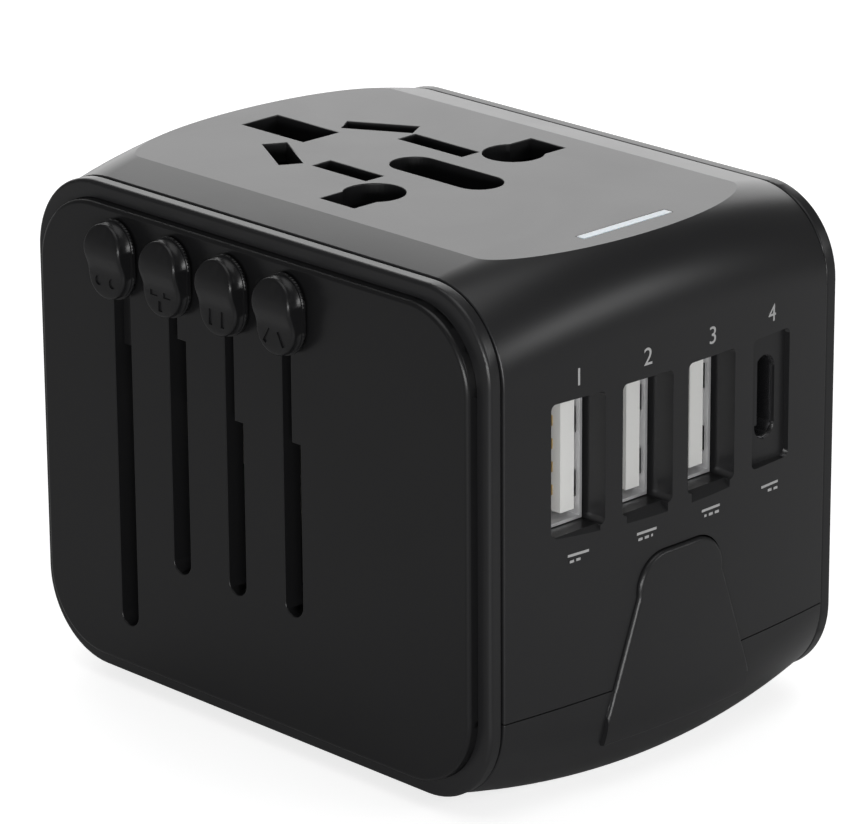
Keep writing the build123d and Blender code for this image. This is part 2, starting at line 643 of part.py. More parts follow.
# USB ports on their board
usb_board = block(board_x, (-board_half_y, board_half_y), board_z)
usb_a_front = half_width - usb_a_recess - 0.3
shell_x = (board_x[1] + 0.02, usb_a_front)
shells = None
tongues = None
strips = None
for y in usb_a_y:
    outline = Pos(y, port_middle) * Rectangle(*usb_a_shell)
    hollow = Pos(y, port_middle) * Rectangle(usb_a_shell[0] - 2 * usb_a_sheet, usb_a_shell[1] - 2 * usb_a_sheet)
    tube = facing_x(outline, shell_x) - facing_x(hollow, (shell_x[0] + usb_a_sheet, body_width))
    window_y = y + usb_a_shell[0] / 2
    window_x = (usb_a_front - usb_a_window[0] - 2.4, usb_a_front - usb_a_window[0])
    for z in (port_middle - 3.2, port_middle + 3.2):
        window_z = (z - usb_a_window[1] / 2, z + usb_a_window[1] / 2)
        tube -= block(window_x, (window_y - 1, window_y + 1), window_z)
    tongue_far = y + usb_a_shell[0] / 2 - usb_a_sheet - usb_a_tongue_gap
    tongue_y = (tongue_far - usb_a_tongue[0], tongue_far)
    tongue_z = (port_middle - usb_a_tongue[1] / 2, port_middle + usb_a_tongue[1] / 2)
    root_y = (y - usb_a_shell[0] / 2 + usb_a_sheet + 0.03, y + usb_a_shell[0] / 2 - usb_a_sheet - 0.03)
    root = block((shell_x[0] + usb_a_sheet + 0.03, shell_x[0] + 1.8), root_y, tongue_z)
    tongue = root + block((shell_x[0] + 1, usb_a_front - 0.3), tongue_y, tongue_z)
    shells = tube if shells is None else shells + tube
    tongues = tongue if tongues is None else tongues + tongue
    for index in range(4):
        z = port_middle + (index - 1.5) * 2.3
        strip_y = (tongue_y[0] - 0.12, tongue_y[0])
        strip = block((shell_x[0] + 1.9, usb_a_front - 1.3), strip_y, (z - 0.5, z + 0.5))
        strips = strip if strips is None else strips + strip
c_outline = Rot(0, 0, 90) * obround_sketch(usb_c_shell[1], usb_c_shell[0])
c_hollow = Rot(0, 0, 90) * obround_sketch(usb_c_shell[1] - 2 * usb_c_sheet, usb_c_shell[0] - 2 * usb_c_sheet)
c_place = Pos(usb_c_y, port_middle)
c_x = (board_x[1] + 0.02, usb_c_front)
usb_c_tube = facing_x(c_place * c_outline, c_x) - facing_x(c_place * c_hollow, (c_x[0] + usb_c_sheet, body_width))
c_tongue = block(
    (c_x[0] + usb_c_sheet + 0.03, usb_c_front - 0.8),
    (usb_c_y - usb_c_tongue[0] / 2, usb_c_y + usb_c_tongue[0] / 2),
    (port_middle - usb_c_tongue[1] / 2, port_middle + usb_c_tongue[1] / 2),
)
chip_y = (usb_a_y[2] + usb_a_shell[0] / 2 + 0.4, usb_c_y - usb_c_shell[0] / 2 - 0.4)
chip = block((board_x[1] + 0.02, board_x[1] + 1.1), chip_y, (port_middle - 2, port_middle + 2))

# Light bar and its LED
led_z = (board_z[1] - 3.0, board_z[1] - 1.2)
pipe_x = (led_x - led_bar[0] / 2, led_x + led_bar[0] / 2)
pipe_foot = (board_x[1] + 1.2, pipe_x[1])
light_pipe = block(pipe_x, (-led_bar[1] / 2, led_bar[1] / 2), (led_z[0], body_height))
light_pipe += block(pipe_foot, (-2.6, 2.6), led_z)
led_chip = block((board_x[1] + 0.02, board_x[1] + 0.9), (-1.6, 1.6), (led_z[0] + 0.1, led_z[1] - 0.1))

# Power board and what stands on it
power_board = block(power_board_x, (-power_board_half_y, power_board_half_y), power_board_z)
deck = power_board_z[1] + 0.02
power_middle = sum(power_board_x) / 2
core = block((power_middle - 4.0, power_middle + 4.0), (-14.6, -2.6), (deck, deck + 13.0))
core -= block((power_middle - 5.0, power_middle + 5.0), (-12.6, -4.6), (deck + 2.4, deck + 10.6))
core += block((power_middle - 4.0, power_middle + 4.0), (-9.9, -7.3), (deck, deck + 13.0))
winding_x = (power_middle - 3.9, power_middle + 3.9)
winding = block(winding_x, (-12.5, -4.7), (deck + 2.5, deck + 10.5))
winding -= block(everywhere, (-10.0, -7.2), (0, body_height))
cans = None
for y in (2.6, 11.0):
    can = upright(Pos(power_middle, y) * Circle(3.6), (deck, deck + 13.5))
    can = fillet(can.faces().sort_by(Axis.Z)[-1].edges(), 0.5)
    cans = can if cans is None else cans + can
chip_low = block((power_middle - 3, power_middle + 3), (-2.2, -1.2), (deck, deck + 5))

# Fuse and its board
fuse_board = block(fuse_board_x, (-16.0, 16.0), (parting_height + 1.5, 28.0))
fuse_half = fuse_length / 2
tube = Pos(fuse_x, 0, fuse_z) * Rot(90, 0, 0) * Cylinder(fuse_radius - 0.15, fuse_length - 12)
caps = None
clips = None
for side in (1, -1):
    cap_y = side * (fuse_half - 3.05)
    cap = Pos(fuse_x, cap_y, fuse_z) * Rot(90, 0, 0) * Cylinder(fuse_radius, 5.8)
    caps = cap if caps is None else caps + cap
    clip = block((fuse_board_x[1] + 0.02, fuse_x + 2.0), (cap_y - 2, cap_y + 2), (fuse_z - 3.8, fuse_z + 3.8))
    clip -= block((fuse_board_x[1] + 0.6, body_width), (cap_y - 3, cap_y + 3), (fuse_z - 3.3, fuse_z + 3.3))
    clips = clip if clips is None else clips + clip

# Housing screws
screws = None
for x, y in screw_places:
    head = upright(Pos(x, y) * Circle(screw_head_radius), (wall, screw_head_top))
    head -= block((x - 1.5, x + 1.5), (y - 0.25, y + 0.25), (0, wall + 0.7))
    head -= block((x - 0.25, x + 0.25), (y - 1.5, y + 1.5), (0, wall + 0.7))
    screw = head + upright(Pos(x, y) * Circle(screw_radius), (screw_head_top - 0.2, screw_head_top + screw_length))
    screws = screw if screws is None else screws + screw

nodes["main_housing"] = main_housing
nodes["lower_cover"] = lower_cover
nodes["front_frame"] = front_frame
nodes["rear_frame"] = rear_frame
nodes["front_panel"] = front_panel
nodes["rear_panel"] = rear_panel
nodes["guide_rods"] = rods
nodes["shutter"] = shutter
nodes["shutter_spring"] = shutter_spring
nodes["contact_block"] = contact_block
nodes["line_contact"] = contacts["line_contact"]
nodes["neutral_contact"] = contacts["neutral_contact"]
nodes["earth_contact"] = earth_contact
nodes["usb_board"] = usb_board
nodes["usb_a_shells"] = shells
nodes["usb_a_tongues"] = tongues
nodes["usb_a_contacts"] = strips
nodes["usb_c_shell"] = usb_c_tube
nodes["usb_c_tongue"] = c_tongue
nodes["usb_controller"] = chip
nodes["light_bar"] = light_pipe
nodes["led_chip"] = led_chip
nodes["power_board"] = power_board
nodes["transformer_core"] = core
nodes["transformer_winding"] = winding
nodes["capacitors"] = cans
nodes["power_chip"] = chip_low
nodes["fuse_board"] = fuse_board
nodes["fuse_tube"] = tube
nodes["fuse_caps"] = caps
nodes["fuse_clips"] = clips
nodes["housing_screws"] = screws

for name, shape in nodes.items():
    export_step(Compound(shape.solids()), f"parts/{name}.step")
    print(name, len(shape.solids()))
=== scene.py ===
"""Universal travel adapter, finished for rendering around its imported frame: rounded mouldings, plated and
pressed metal parts, printed port marks, engraved slider symbols, soft studio light."""

import functools
import math

import bmesh
import bpy
import numpy
from bpy.props import FloatProperty, FloatVectorProperty, IntProperty, PointerProperty
from mathutils import Matrix, Vector


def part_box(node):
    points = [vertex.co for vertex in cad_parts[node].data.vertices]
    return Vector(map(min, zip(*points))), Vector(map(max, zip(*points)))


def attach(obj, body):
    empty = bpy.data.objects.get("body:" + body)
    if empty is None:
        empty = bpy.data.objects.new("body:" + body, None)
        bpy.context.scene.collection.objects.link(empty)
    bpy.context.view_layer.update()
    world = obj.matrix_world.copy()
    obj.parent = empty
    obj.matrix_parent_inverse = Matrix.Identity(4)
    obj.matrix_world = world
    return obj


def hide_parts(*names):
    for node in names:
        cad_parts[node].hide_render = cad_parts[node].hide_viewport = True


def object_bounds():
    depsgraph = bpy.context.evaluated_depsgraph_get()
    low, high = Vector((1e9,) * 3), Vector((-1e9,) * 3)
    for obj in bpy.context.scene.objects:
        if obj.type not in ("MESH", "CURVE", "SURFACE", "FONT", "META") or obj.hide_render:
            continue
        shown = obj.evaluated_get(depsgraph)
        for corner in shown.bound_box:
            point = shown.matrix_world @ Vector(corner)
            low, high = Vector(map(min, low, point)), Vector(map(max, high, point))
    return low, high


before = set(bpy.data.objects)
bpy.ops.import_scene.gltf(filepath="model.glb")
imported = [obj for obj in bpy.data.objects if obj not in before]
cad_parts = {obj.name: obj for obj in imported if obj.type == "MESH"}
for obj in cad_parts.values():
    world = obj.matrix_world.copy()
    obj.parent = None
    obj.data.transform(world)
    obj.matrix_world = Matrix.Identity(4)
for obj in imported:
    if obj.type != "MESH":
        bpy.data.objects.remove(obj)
cad_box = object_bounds()

bl_info = {
    "name": "Travel Adapter",
    "version": (1, 0, 0),
    "blender": (4, 5, 0),
    "location": "View3D > Sidebar > Travel Adapter",
    "description": "Builds the finished travel adapter and its studio around the packed frame",
    "category": "Object",
}

SLIDERS = ("eu", "uk", "us", "au")
MM = 0.001
WELD = 0.0005 * MM
SHARP_ANGLE = math.radians(34)
SQUARE = 0.9998
BROAD_FACE = 0.15 * MM**2
SKIN_MARGIN = 0.03 * MM
SKIN_ANGLE = math.radians(9)
CAP_HEIGHT = 0.69


class CasingSettings(bpy.types.PropertyGroup):
    """Sizes and colours of the moulded plastic."""

    sheen: FloatProperty(
        name="Sheen", description="Strength of the plastic's reflections", default=0.35, min=0.0, max=1.0,
    )
    panel_sheen: FloatProperty(
        name="Panel sheen", description="Strength of the end panels' reflections", default=0.27,
        min=0.0, max=1.0,
    )
    side_bulge: FloatProperty(
        name="Side bulge", description="How far the sides bow out between the two seams", default=1.5 * MM,
        subtype="DISTANCE", unit="LENGTH",
    )
    crown: FloatProperty(
        name="Crown", description="Rise of the top and bottom between the seams, before the flats",
        default=2.3 * MM, subtype="DISTANCE", unit="LENGTH",
    )
    crown_drop: FloatProperty(
        name="Crown drop", description="How far the seam lies below the flat socket face", default=0.9 * MM,
        subtype="DISTANCE", unit="LENGTH",
    )
    edge_radius: FloatProperty(
        name="Edge radius", description="Radius of the four long edges of the barrel", default=9.2 * MM,
        subtype="DISTANCE", unit="LENGTH",
    )
    tab_height: FloatProperty(
        name="Tab height", description="How far the grip tab stands out from the side, at most",
        default=0.46 * MM, subtype="DISTANCE", unit="LENGTH",
    )
    housing_colour: FloatVectorProperty(
        name="Housing", description="Colour of the barrel mouldings", default=(0.0125, 0.0125, 0.0132),
        subtype="COLOR", size=3,
    )
    panel_colour: FloatVectorProperty(
        name="Panels", description="Colour of the end panels and knobs", default=(0.0085, 0.0085, 0.009),
        subtype="COLOR", size=3,
    )
    grain_size: FloatProperty(
        name="Grain", description="Distance between the pits of the moulded grain", default=0.16 * MM,
        subtype="DISTANCE", unit="LENGTH",
    )


class MarkSettings(bpy.types.PropertyGroup):
    """Sizes and colours of the printed and engraved marks."""

    ink_colour: FloatVectorProperty(
        name="Ink", description="Colour of the printed marks", default=(0.36, 0.36, 0.36),
        subtype="COLOR", size=3,
    )
    numeral_height: FloatProperty(
        name="Numeral height", description="Height of the port numerals", default=1.7 * MM,
        subtype="DISTANCE", unit="LENGTH",
    )
    ink_thickness: FloatProperty(
        name="Ink thickness", description="Thickness of a printed mark", default=0.012 * MM,
        subtype="DISTANCE", unit="LENGTH",
    )
    knob_span: FloatProperty(
        name="Knob span", description="Height of a slider knob with its flange", default=8.06 * MM,
        subtype="DISTANCE", unit="LENGTH",
    )
    symbol_height: FloatProperty(
        name="Symbol height", description="Height of the plug symbol above the foot of its knob",
        default=2.0 * MM, subtype="DISTANCE", unit="LENGTH",
    )
    scoop_depth: FloatProperty(
        name="Scoop", description="Depth of the knob's finger scoop below its ridge", default=0.5 * MM,
        subtype="DISTANCE", unit="LENGTH",
    )
    symbol_depth: FloatProperty(
        name="Symbol depth", description="Depth of the plug symbol in its knob", default=0.22 * MM,
        subtype="DISTANCE", unit="LENGTH",
    )
    bar_width: FloatProperty(
        name="Bar width", description="Width of the bar of the direct current symbol", default=2.6 * MM,
        subtype="DISTANCE", unit="LENGTH",
    )
    bar_height: FloatProperty(
        name="Bar height", description="Height of the bar and of its dashes", default=0.26 * MM,
        subtype="DISTANCE", unit="LENGTH",
    )
    dash_count: IntProperty(
        name="Dashes", description="Dashes under the bar of the direct current symbol", default=3, min=1,
    )


class StageSettings(bpy.types.PropertyGroup):
    """Camera and lights."""

    lens: FloatProperty(
        name="Lens", description="Focal length of the camera", default=210.5, subtype="DISTANCE_CAMERA",
    )
    azimuth: FloatProperty(
        name="Azimuth", description="Camera direction round the adapter", default=math.radians(45.824),
        subtype="ANGLE", unit="ROTATION",
    )
    elevation: FloatProperty(
        name="Elevation", description="Camera height angle", default=math.radians(19.256),
        subtype="ANGLE", unit="ROTATION",
    )
    roll: FloatProperty(
        name="Roll", description="Camera tilt about its own line of sight", default=math.radians(-0.361),
        subtype="ANGLE", unit="ROTATION",
    )
    position: FloatVectorProperty(
        name="Camera", description="Where the camera stands", default=(0.34174, -0.33212, 0.19426),
        subtype="TRANSLATION", unit="LENGTH", size=3,
    )
    backlight: FloatProperty(
        name="Back light", description="Power of the large light behind the adapter", default=5.0,
        unit="POWER",
    )
    overhead: FloatProperty(
        name="Overhead light", description="Power of the light above the adapter", default=2.2, unit="POWER",
    )
    side_glow: FloatProperty(
        name="Side glow", description="Power of the low soft light beside the adapter", default=1.3,
        unit="POWER",
    )
    front_fill: FloatProperty(
        name="Front fill", description="Power of the low wide light near the camera", default=8.5,
        unit="POWER",
    )
    ambient: FloatProperty(
        name="Ambient", description="Strength of the even light from all round", default=0.12, min=0.0,
    )
    floor_glow: FloatProperty(
        name="Floor glow", description="Light that the floor shows to the camera alone", default=0.75,
        min=0.0,
    )


@functools.cache
def node_box(node):
    """Lowest and highest corner of a CAD node at rest."""
    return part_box(node)


# Node helpers


def add_node(tree, kind, place, **settings):
    """A node of one kind, with its plain settings."""
    node = tree.nodes.new(kind)
    node.location = place
    for key, value in settings.items():
        setattr(node, key, value)
    return node


def new_group(name, inputs, outputs):
    """An empty shader node group with named sockets; inputs are (name, kind, default)."""
    group = bpy.data.node_groups.new(name, "ShaderNodeTree")
    for title, kind, default in inputs:
        socket = group.interface.new_socket(title, in_out="INPUT", socket_type=kind)
        if default is not None:
            socket.default_value = default
    for title, kind in outputs:
        group.interface.new_socket(title, in_out="OUTPUT", socket_type=kind)
    source = add_node(group, "NodeGroupInput", (-700, 0))
    sink = add_node(group, "NodeGroupOutput", (500, 0))
    return group, source, sink


def grain_group():
    """Fine pits left by the tool's etched surface, as a height."""
    group = bpy.data.node_groups.get("Moulded grain")
    if group:
        return group
    inputs = [("Vector", "NodeSocketVector", None), ("Scale", "NodeSocketFloat", 6000.0)]
    group, source, sink = new_group("Moulded grain", inputs, [("Height", "NodeSocketFloat")])
    fine = add_node(group, "ShaderNodeTexNoise", (-400, 120))
    fine.inputs["Detail"].default_value = 2.0
    pits = add_node(group, "ShaderNodeTexVoronoi", (-400, -140))
    both = add_node(group, "ShaderNodeMath", (100, 0), operation="ADD")
    for texture in (fine, pits):
        group.links.new(source.outputs["Vector"], texture.inputs["Vector"])
        group.links.new(source.outputs["Scale"], texture.inputs["Scale"])
    group.links.new(fine.outputs["Fac"], both.inputs[0])
    group.links.new(pits.outputs["Distance"], both.inputs[1])
    group.links.new(both.outputs[0], sink.inputs["Height"])
    return group


def tone_group():
    """Slow drift of tone and polish over a moulding, with faint handling marks."""
    group = bpy.data.node_groups.get("Tone and polish")
    if group:
        return group
    inputs = [
        ("Vector", "NodeSocketVector", None),
        ("Colour", "NodeSocketColor", (0.5, 0.5, 0.5, 1)),
        ("Drift", "NodeSocketFloat", 0.15),
        ("Roughness", "NodeSocketFloat", 0.4),
        ("Polish drift", "NodeSocketFloat", 0.05),
        ("Scale", "NodeSocketFloat", 60.0),
    ]
    outputs = [("Colour", "NodeSocketColor"), ("Roughness", "NodeSocketFloat")]
    group, source, sink = new_group("Tone and polish", inputs, outputs)
    cloud = add_node(group, "ShaderNodeTexNoise", (-500, 200))
    cloud.inputs["Detail"].default_value = 4.0
    wipe = add_node(group, "ShaderNodeTexNoise", (-500, -200))
    wipe.inputs["Detail"].default_value = 6.0
    wipe.inputs["Distortion"].default_value = 1.2
    centred = add_node(group, "ShaderNodeMath", (-300, 200), operation="SUBTRACT")
    centred.inputs[1].default_value = 0.5
    drift = add_node(group, "ShaderNodeMath", (-150, 200), operation="MULTIPLY_ADD")
    drift.inputs[2].default_value = 1.0
    shade = add_node(group, "ShaderNodeVectorMath", (100, 200), operation="SCALE")
    off = add_node(group, "ShaderNodeMath", (-300, -200), operation="SUBTRACT")
    off.inputs[1].default_value = 0.5
    polish = add_node(group, "ShaderNodeMath", (-100, -200), operation="MULTIPLY_ADD")
    link = group.links.new
    for texture in (cloud, wipe):
        link(source.outputs["Vector"], texture.inputs["Vector"])
        link(source.outputs["Scale"], texture.inputs["Scale"])
    link(cloud.outputs["Fac"], centred.inputs[0])
    link(centred.outputs[0], drift.inputs[0])
    link(source.outputs["Drift"], drift.inputs[1])
    link(source.outputs["Colour"], shade.inputs[0])
    link(drift.outputs[0], shade.inputs["Scale"])
    link(shade.outputs[0], sink.inputs["Colour"])
    link(wipe.outputs["Fac"], off.inputs[0])
    link(off.outputs[0], polish.inputs[0])
    link(source.outputs["Polish drift"], polish.inputs[1])
    link(source.outputs["Roughness"], polish.inputs[2])
    link(polish.outputs[0], sink.inputs["Roughness"])
    return group


def finish(name, colour, roughness, drift, polish, grain=None, depth=0.0, stretch=None, **fixed):
    """A procedural material: drifting tone and polish, and a grain height where one is given."""
    material = bpy.data.materials.get(name)
    if material:
        return material
    material = bpy.data.materials.new(name)
    material.use_nodes = True
    tree = material.node_tree
    shader = tree.nodes["Principled BSDF"]
    place = add_node(tree, "ShaderNodeTexCoord", (-1100, 0))
    vector = place.outputs["Object"]
    if stretch:
        mapping = add_node(tree, "ShaderNodeMapping", (-900, 0))
        mapping.inputs["Scale"].default_value = stretch
        tree.links.new(vector, mapping.inputs["Vector"])
        vector = mapping.outputs["Vector"]
    tone = add_node(tree, "ShaderNodeGroup", (-500, 150), node_tree=tone_group())
    tone.inputs["Colour"].default_value = (*colour, 1)
    tone.inputs["Drift"].default_value = drift
    tone.inputs["Roughness"].default_value = roughness
    tone.inputs["Polish drift"].default_value = polish
    tree.links.new(vector, tone.inputs["Vector"])
    tree.links.new(tone.outputs["Colour"], shader.inputs["Base Color"])
    tree.links.new(tone.outputs["Roughness"], shader.inputs["Roughness"])
    if grain:
        pits = add_node(tree, "ShaderNodeGroup", (-500, -250), node_tree=grain_group())
        pits.inputs["Scale"].default_value = 1.0 / grain
        bump = add_node(tree, "ShaderNodeBump", (-250, -250))
        bump.inputs["Strength"].default_value = 1.0
        bump.inputs["Distance"].default_value = depth
        tree.links.new(vector, pits.inputs["Vector"])
        tree.links.new(pits.outputs["Height"], bump.inputs["Height"])
        tree.links.new(bump.outputs["Normal"], shader.inputs["Normal"])
    for socket, value in fixed.items():
        shader.inputs[socket.replace("_", " ")].default_value = value
    return material


def casing():
    return bpy.context.scene.adapter_casing


def marks():
    return bpy.context.scene.adapter_marks


def housing_plastic():
    own = casing()
    return finish(
        "Satin housing plastic", own.housing_colour, 0.34, 0.25, 0.06, own.grain_size, 0.0016 * MM,
        Specular_IOR_Level=own.sheen,
    )


def panel_plastic():
    own = casing()
    return finish(
        "Smooth panel plastic", own.panel_colour, 0.3, 0.25, 0.06, own.grain_size * 1.4, 0.001 * MM,
        Specular_IOR_Level=own.panel_sheen,
    )


def inner_plastic():
    return finish("Dark nylon", (0.02, 0.02, 0.021), 0.5, 0.3, 0.1, 0.3 * MM, 0.004 * MM)


def plated_pin():
    return finish(
        "Nickel plated brass", (0.72, 0.7, 0.66), 0.22, 0.06, 0.12, 0.35 * MM, 0.0015 * MM, (1, 1, 0.08),
        Metallic=1.0,
    )


def bare_brass():
    return finish(
        "Rolled brass", (0.75, 0.55, 0.24), 0.28, 0.15, 0.15, 0.3 * MM, 0.002 * MM, (0.1, 1, 1), Metallic=1.0,
    )


def bright_steel():
    return finish("Bright steel", (0.55, 0.55, 0.57), 0.25, 0.08, 0.1, 0.3 * MM, 0.0015 * MM, Metallic=1.0)


def port_steel():
    return finish(
        "Nickel plated shell", (0.86, 0.86, 0.87), 0.42, 0.1, 0.12, 0.25 * MM, 0.0015 * MM, (0.08, 1, 1),
        Metallic=0.75,
    )


def tongue_plastic():
    return finish("Port tongue", (0.8, 0.8, 0.78), 0.45, 0.08, 0.08, 0.2 * MM, 0.001 * MM)


def board_green():
    return finish("Solder mask", (0.012, 0.09, 0.03), 0.3, 0.3, 0.1, 0.5 * MM, 0.004 * MM, Coat_Weight=0.4)


def chip_black():
    return finish("Chip package", (0.015, 0.015, 0.016), 0.55, 0.2, 0.1, 0.12 * MM, 0.003 * MM)


def copper_wire():
    return finish(
        "Varnished copper", (0.62, 0.27, 0.1), 0.3, 0.2, 0.1, 0.3 * MM, 0.02 * MM, (1, 1, 0.05), Metallic=1.0,
    )


def fuse_ceramic():
    return finish("Fuse ceramic", (0.8, 0.78, 0.72), 0.5, 0.06, 0.1, 0.2 * MM, 0.002 * MM)


def can_sleeve():
    return finish("Sleeved can", (0.03, 0.05, 0.14), 0.35, 0.1, 0.08, 0.4 * MM, 0.002 * MM)


def light_guide():
    return finish(
        "Milky light guide", (0.85, 0.85, 0.86), 0.35, 0.04, 0.06, 0.2 * MM, 0.001 * MM,
        Subsurface_Weight=0.4, Emission_Color=(1, 1, 1, 1), Emission_Strength=0.12,
    )


def print_ink():
    return finish("Printed ink", marks().ink_colour, 0.5, 0.12, 0.08, 0.15 * MM, 0.001 * MM)


def engraved_floor():
    return finish("Engraved floor", (0.11, 0.11, 0.112), 0.5, 0.2, 0.1, 0.12 * MM, 0.002 * MM)


# Mesh helpers


def keep_piece(obj, body, slot, *replaced):
    """Puts a finished piece on its body, and lets it stand for CAD nodes."""
    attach(obj, body)
    if replaced:
        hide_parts(*replaced)
    return obj


def object_from(name, mesh, material):
    """A new object in the scene with one material."""
    obj = bpy.data.objects.new(name, mesh)
    bpy.context.scene.collection.objects.link(obj)
    mesh.materials.clear()
    mesh.materials.append(material)
    return obj


def bake_modifiers(obj):
    """Turns an object's modifiers into its plain mesh."""
    bpy.context.view_layer.update()
    graph = bpy.context.evaluated_depsgraph_get()
    mesh = bpy.data.meshes.new_from_object(obj.evaluated_get(graph))
    obj.modifiers.clear()
    obj.data = mesh
    return obj


def corner_directions(mesh):
    """The normal at each corner of a mesh's faces, one row each."""
    corners = numpy.zeros(len(mesh.loops) * 3)
    mesh.corner_normals.foreach_get("vector", corners)
    return corners.reshape(-1, 3)


def square_faces_flat(obj, broad):
    """Gives faces that are square to an axis, or larger than a given area, their own plain direction."""
    mesh = obj.data
    corners = corner_directions(mesh)
    for face in mesh.polygons:
        if max(map(abs, face.normal)) > SQUARE or face.area > broad:
            corners[face.loop_start : face.loop_start + face.loop_total] = face.normal
    mesh.normals_split_custom_set(corners)
    return obj


def smooth_copy(node, material, broad=math.inf):
    """A copy of a CAD node's solid with its triangles joined, so that light runs smoothly over it."""
    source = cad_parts[node]
    mesh = source.data.copy()
    mesh.transform(source.matrix_world)
    build = bmesh.new()
    build.from_mesh(mesh)
    bmesh.ops.remove_doubles(build, verts=build.verts, dist=WELD)
    bmesh.ops.recalc_face_normals(build, faces=build.faces)
    build.to_mesh(mesh)
    build.free()
    obj = object_from(node + "_finished", mesh, material)
    mesh.shade_smooth()
    mesh.set_sharp_from_angle(angle=SHARP_ANGLE)
    weighted = obj.modifiers.new("Normals", "WEIGHTED_NORMAL")
    weighted.keep_sharp = True
    weighted.weight = 90
    return square_faces_flat(bake_modifiers(obj), broad)


def barrel_skin(points):
    """Distance outside the bowed barrel and its outward direction, at each of several points."""
    own = casing()
    low, high = node_box("main_housing")
    height = cad_box[1][2] - cad_box[0][2]
    middle = (cad_box[1][2] + cad_box[0][2]) / 2
    reach = high[1]
    side_radius = (reach**2 + own.side_bulge**2) / (2 * own.side_bulge)
    crown_radius = (reach**2 + own.crown**2) / (2 * own.crown)
    side_axis = high[0] - side_radius
    crown_axis = height / 2 - own.crown_drop + own.crown - crown_radius
    x, y, z = points.T
    z = z - middle
    zero = numpy.zeros_like(x)
    side = numpy.stack([numpy.abs(x) - side_axis, y, zero], axis=1)
    crown = numpy.stack([zero, y, numpy.abs(z) - crown_axis], axis=1)
    side_length = numpy.linalg.norm(side, axis=1)
    crown_length = numpy.linalg.norm(crown, axis=1)
    side_in = side_length - side_radius + own.edge_radius
    crown_in = crown_length - crown_radius + own.edge_radius
    side_share = numpy.maximum(side_in, 0) / side_length
    crown_share = numpy.maximum(crown_in, 0) / crown_length
    outward = side * side_share[:, None] + crown * crown_share[:, None]
    length = numpy.maximum(numpy.linalg.norm(outward, axis=1), 1e-9)
    distance = length - own.edge_radius
    outward = outward / length[:, None] * numpy.stack([numpy.sign(x), zero + 1, numpy.sign(z)], axis=1)
    return distance, outward


def polish_skin(obj, proud):
    """Gives faces on the barrel's skin, or up to a height proud of it, the barrel's own direction."""
    mesh = obj.data
    corners = corner_directions(mesh)
    places = numpy.zeros(len(mesh.vertices) * 3)
    mesh.vertices.foreach_get("co", places)
    distance, outward = barrel_skin(places.reshape(-1, 3))
    near = (distance > -SKIN_MARGIN) & (distance < proud + SKIN_MARGIN)
    close = math.cos(SKIN_ANGLE)
    for face in mesh.polygons:
        loops = range(face.loop_start, face.loop_start + face.loop_total)
        own = [mesh.loops[index].vertex_index for index in loops]
        normal = numpy.array(face.normal)
        if all(near[v] and outward[v] @ normal > close for v in own):
            for index, v in zip(loops, own):
                corners[index] = outward[v]
    mesh.normals_split_custom_set(corners)


def dress(nodes, material):
    """Gives carried-over CAD nodes their finish."""
    for node in nodes:
        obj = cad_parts[node]
        obj.data.materials.clear()
        obj.data.materials.append(material)


def row_tree():
    """Geometry nodes that lay equal blocks in a straight row."""
    tree = bpy.data.node_groups.get("Row of blocks")
    if tree:
        return tree
    tree = bpy.data.node_groups.new("Row of blocks", "GeometryNodeTree")
    tree.interface.new_socket("Geometry", in_out="INPUT", socket_type="NodeSocketGeometry")
    for title, kind in (
        ("Count", "NodeSocketInt"),
        ("Start", "NodeSocketVector"),
        ("Step", "NodeSocketVector"),
        ("Block size", "NodeSocketVector"),
        ("Material", "NodeSocketMaterial"),
    ):
        tree.interface.new_socket(title, in_out="INPUT", socket_type=kind)
    tree.interface.new_socket("Geometry", in_out="OUTPUT", socket_type="NodeSocketGeometry")
    source = add_node(tree, "NodeGroupInput", (-600, 0))
    line = add_node(tree, "GeometryNodeMeshLine", (-350, 150), mode="OFFSET")
    cube = add_node(tree, "GeometryNodeMeshCube", (-350, -150))
    place = add_node(tree, "GeometryNodeInstanceOnPoints", (-100, 0))
    real = add_node(tree, "GeometryNodeRealizeInstances", (100, 0))
    paint = add_node(tree, "GeometryNodeSetMaterial", (300, 0))
    sink = add_node(tree, "NodeGroupOutput", (500, 0))
    link = tree.links.new
    link(source.outputs["Count"], line.inputs["Count"])
    link(source.outputs["Start"], line.inputs["Start Location"])
    link(source.outputs["Step"], line.inputs["Offset"])
    link(source.outputs["Block size"], cube.inputs["Size"])
    link(line.outputs["Mesh"], place.inputs["Points"])
    link(cube.outputs["Mesh"], place.inputs["Instance"])
    link(place.outputs["Instances"], real.inputs["Geometry"])
    link(real.outputs["Geometry"], paint.inputs["Geometry"])
    link(source.outputs["Material"], paint.inputs["Material"])
    link(paint.outputs["Geometry"], sink.inputs["Geometry"])
    return tree


def block_row(name, material, count, start, step, size):
    """A row of equal blocks as one plain mesh."""
    obj = object_from(name, bpy.data.meshes.new(name), material)
    modifier = obj.modifiers.new("Row", "NODES")
    tree = row_tree()
    modifier.node_group = tree
    values = {"Count": count, "Start": start, "Step": step, "Block size": size, "Material": material}
    for item in tree.interface.items_tree:
        if item.in_out == "INPUT" and item.name in values:
            modifier[item.identifier] = values[item.name]
    return bake_modifiers(obj)


def join_into(name, material, parts):
    """Several meshes made into one object."""
    build = bmesh.new()
    for part in parts:
        build.from_mesh(part)
    mesh = bpy.data.meshes.new(name)
    build.to_mesh(mesh)
    build.free()
    return object_from(name, mesh, material)


def side_surface(across):
    """How far out the bowed USB side stands at one place across it."""
    _, high = node_box("main_housing")
    _, frame_high = node_box("front_frame")
    frame_proud = 0.2 * MM
    reach = high[1]
    bulge = high[0] - frame_high[0] - frame_proud
    radius = (reach * reach + bulge * bulge) / (2 * bulge)
    return high[0] - radius + math.sqrt(radius * radius - across * across)


